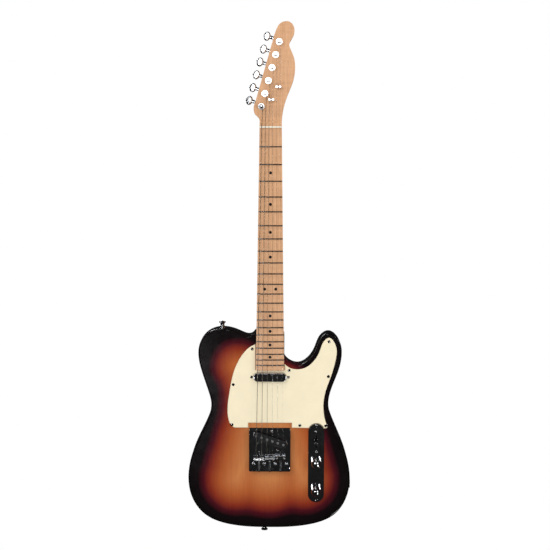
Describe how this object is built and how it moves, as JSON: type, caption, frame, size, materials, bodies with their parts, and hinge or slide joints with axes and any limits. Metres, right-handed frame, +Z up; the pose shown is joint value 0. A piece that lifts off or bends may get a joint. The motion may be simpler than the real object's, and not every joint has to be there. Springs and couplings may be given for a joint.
{
  "type": "electric guitar",
  "caption": "Single-cut solid-body electric guitar with bolt-on maple neck, cream guard, folded bridge plate and in-line tuners.",
  "frame": {"origin": "on the centre line and the fingerboard surface at the front face of the nut, where a wall hanger's yoke passes each side of the neck", "axes": "+Z up the neck to the headstock, -Y the front (strings), +X the treble side; the guitar hangs upright"},
  "size_m": [0.3254, 0.0686, 1.0165],
  "materials": {
    "sunburst_finish": "high-gloss three-colour sunburst lacquer over wood",
    "maple": "satin amber-tinted maple",
    "walnut": "satin dark walnut",
    "nickel": "polished nickel silver",
    "black_plastic": "moulded black",
    "bone_plastic": "polished off-white",
    "steel": "plated steel",
    "chrome": "polished chrome plate",
    "cream_plastic": "semi-gloss cream laminate",
    "orange_plastic": "dipped ceramic",
    "copper_wire": "enamelled copper winding",
    "string_steel": "nickel-plated and plain steel",
    "wire_insulation": "cloth-like insulation"
  },
  "bodies": {
    "guitar": {"body": "sunburst_finish", "neck": "maple", "skunk_stripe": "walnut", "fret_wires": "nickel", "position_dots": "black_plastic", "nut": "bone_plastic", "truss_rod": "steel", "neck_plate": "chrome", "neck_screws": "chrome", "pickguard": "cream_plastic", "pickguard_screws": "chrome", "control_plate": "chrome", "control_plate_screws": "chrome", "potentiometers": "steel", "pot_nuts": "steel", "selector_switch": "steel", "tone_capacitor": "orange_plastic", "neck_pickup_cover": "chrome", "neck_pickup_bobbin": "black_plastic", "neck_pickup_coil": "copper_wire", "neck_pickup_magnets": "steel", "bridge_pickup_bobbin": "black_plastic", "bridge_pickup_coil": "copper_wire", "bridge_pickup_magnets": "steel", "pickup_screws": "chrome", "pickup_springs": "steel", "bridge_plate": "chrome", "bridge_plate_screws": "chrome", "saddles": "chrome", "saddle_height_screws": "steel", "intonation_screws": "chrome", "intonation_springs": "steel", "string_ferrules": "chrome", "tuner_housings": "chrome", "tuner_bushings": "chrome", "headstock_screws": "chrome", "string_trees": "chrome", "bass_strings": "string_steel", "treble_strings": "string_steel", "strap_buttons": "chrome", "strap_button_screws": "chrome", "jack_cup": "chrome", "output_jack": "steel", "hookup_wires": "wire_insulation"},
    "volume": {"volume_knob": "chrome"},
    "tone": {"tone_knob": "chrome"},
    "selector": {"switch_lever": "steel", "switch_tip": "black_plastic"},
    "tuner_1_key": {"tuner_1_button": "chrome"},
    "tuner_1_spindle": {"tuner_1_post": "chrome"},
    "tuner_2_key": {"tuner_2_button": "chrome"},
    "tuner_2_spindle": {"tuner_2_post": "chrome"},
    "tuner_3_key": {"tuner_3_button": "chrome"},
    "tuner_3_spindle": {"tuner_3_post": "chrome"},
    "tuner_4_key": {"tuner_4_button": "chrome"},
    "tuner_4_spindle": {"tuner_4_post": "chrome"},
    "tuner_5_key": {"tuner_5_button": "chrome"},
    "tuner_5_spindle": {"tuner_5_post": "chrome"},
    "tuner_6_key": {"tuner_6_button": "chrome"},
    "tuner_6_spindle": {"tuner_6_post": "chrome"}
  },
  "joints": [
    {"name": "volume_turn", "type": "hinge", "parent": "guitar", "child": "volume", "pos_m": [0.093, 0, -0.6622], "axis": [0, -1, 0], "range_deg": [-290, 0]},
    {"name": "tone_turn", "type": "hinge", "parent": "guitar", "child": "tone", "pos_m": [0.093, 0, -0.7198], "axis": [0, -1, 0], "range_deg": [-290, 0]},
    {"name": "selector_swing", "type": "hinge", "parent": "guitar", "child": "selector", "pos_m": [0.093, 0.024, -0.622], "axis": [1, 0, 0], "range_deg": [-17, 17]},
    {"name": "tuner_1_button_turn", "type": "hinge", "parent": "guitar", "child": "tuner_1_key", "pos_m": [-0.01682, 0.0283, 0.04767], "axis": [-0.9636, 0, 0.2672], "continuous": true},
    {"name": "tuner_1_post_turn", "type": "hinge", "parent": "guitar", "child": "tuner_1_spindle", "pos_m": [-0.0185, 0, 0.0416], "axis": [0, -1, 0], "continuous": true},
    {"name": "tuner_2_button_turn", "type": "hinge", "parent": "guitar", "child": "tuner_2_key", "pos_m": [-0.00993, 0.0283, 0.07248], "axis": [-0.9636, 0, 0.2672], "continuous": true},
    {"name": "tuner_2_post_turn", "type": "hinge", "parent": "guitar", "child": "tuner_2_spindle", "pos_m": [-0.01162, 0, 0.06641], "axis": [0, -1, 0], "continuous": true},
    {"name": "tuner_3_button_turn", "type": "hinge", "parent": "guitar", "child": "tuner_3_key", "pos_m": [-0.00305, 0.0283, 0.0973], "axis": [-0.9636, 0, 0.2672], "continuous": true},
    {"name": "tuner_3_post_turn", "type": "hinge", "parent": "guitar", "child": "tuner_3_spindle", "pos_m": [-0.00474, 0, 0.09123], "axis": [0, -1, 0], "continuous": true},
    {"name": "tuner_4_button_turn", "type": "hinge", "parent": "guitar", "child": "tuner_4_key", "pos_m": [0.00383, 0.0283, 0.12211], "axis": [-0.9636, 0, 0.2672], "continuous": true},
    {"name": "tuner_4_post_turn", "type": "hinge", "parent": "guitar", "child": "tuner_4_spindle", "pos_m": [0.00214, 0, 0.11604], "axis": [0, -1, 0], "continuous": true},
    {"name": "tuner_5_button_turn", "type": "hinge", "parent": "guitar", "child": "tuner_5_key", "pos_m": [0.01071, 0.0283, 0.14693], "axis": [-0.9636, 0, 0.2672], "continuous": true},
    {"name": "tuner_5_post_turn", "type": "hinge", "parent": "guitar", "child": "tuner_5_spindle", "pos_m": [0.00903, 0, 0.14085], "axis": [0, -1, 0], "continuous": true},
    {"name": "tuner_6_button_turn", "type": "hinge", "parent": "guitar", "child": "tuner_6_key", "pos_m": [0.01759, 0.0283, 0.17174], "axis": [-0.9636, 0, 0.2672], "continuous": true},
    {"name": "tuner_6_post_turn", "type": "hinge", "parent": "guitar", "child": "tuner_6_spindle", "pos_m": [0.01591, 0, 0.16567], "axis": [0, -1, 0], "continuous": true}
  ],
  "couplings": [
    {"joint": "tuner_1_post_turn", "follows": "tuner_1_button_turn", "ratio": 0.066667},
    {"joint": "tuner_2_post_turn", "follows": "tuner_2_button_turn", "ratio": 0.066667},
    {"joint": "tuner_3_post_turn", "follows": "tuner_3_button_turn", "ratio": 0.066667},
    {"joint": "tuner_4_post_turn", "follows": "tuner_4_button_turn", "ratio": 0.066667},
    {"joint": "tuner_5_post_turn", "follows": "tuner_5_button_turn", "ratio": 0.066667},
    {"joint": "tuner_6_post_turn", "follows": "tuner_6_button_turn", "ratio": 0.066667}
  ]
}
